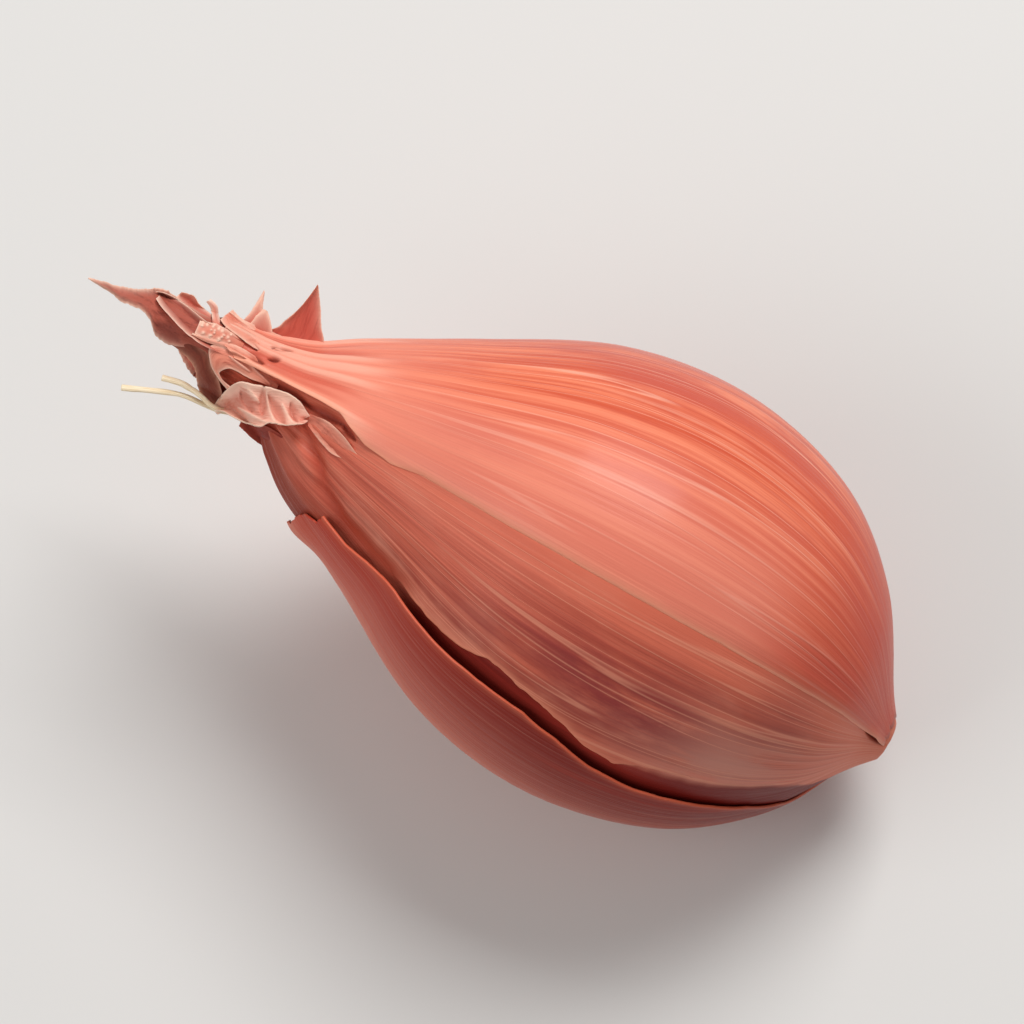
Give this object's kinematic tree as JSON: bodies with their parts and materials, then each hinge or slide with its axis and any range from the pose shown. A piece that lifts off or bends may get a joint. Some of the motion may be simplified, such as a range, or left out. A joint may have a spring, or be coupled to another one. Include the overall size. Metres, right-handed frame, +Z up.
{
  "type": "shallot",
  "caption": "Half-long French shallot lying on its side, with glossy copper skins, a split outer skin standing off in a flap, torn dry leaf ends at the neck and a tuft of dry roots.",
  "frame": {"origin": "on the surface the shallot lies on, under the middle of its box", "axes": "+X towards the root end, -X towards the neck, -Y towards the side on which the outer skin has split, +Z up; the neck is raised 15 degrees above level"},
  "size_m": [0.0788, 0.0394, 0.0394],
  "materials": {
    "bulb_skin": "satin, dull brownish pink with purple mottles and fine lengthwise veins",
    "outer_skin": "thin dry skin, glossy copper orange, redder and darker towards the split edge, fine lengthwise veins",
    "dry_leaf": "papery, pink to tan, light torn edges",
    "straw_fibre": "dry straw, cream",
    "root": "corky, dull brown"
  },
  "bodies": {
    "root": {"bulb": "bulb_skin", "outer_skin": "outer_skin", "neck_leaf_long": "dry_leaf", "neck_leaf_brown": "dry_leaf", "neck_leaf_spike": "dry_leaf", "neck_leaf_barb": "dry_leaf", "neck_leaf_corner": "dry_leaf", "neck_leaf_curl": "dry_leaf", "neck_leaf_back": "dry_leaf", "neck_leaf_under": "dry_leaf", "neck_fibre_long": "straw_fibre", "neck_fibre_short": "straw_fibre", "root_tuft": "root"}
  },
  "joints": []
}
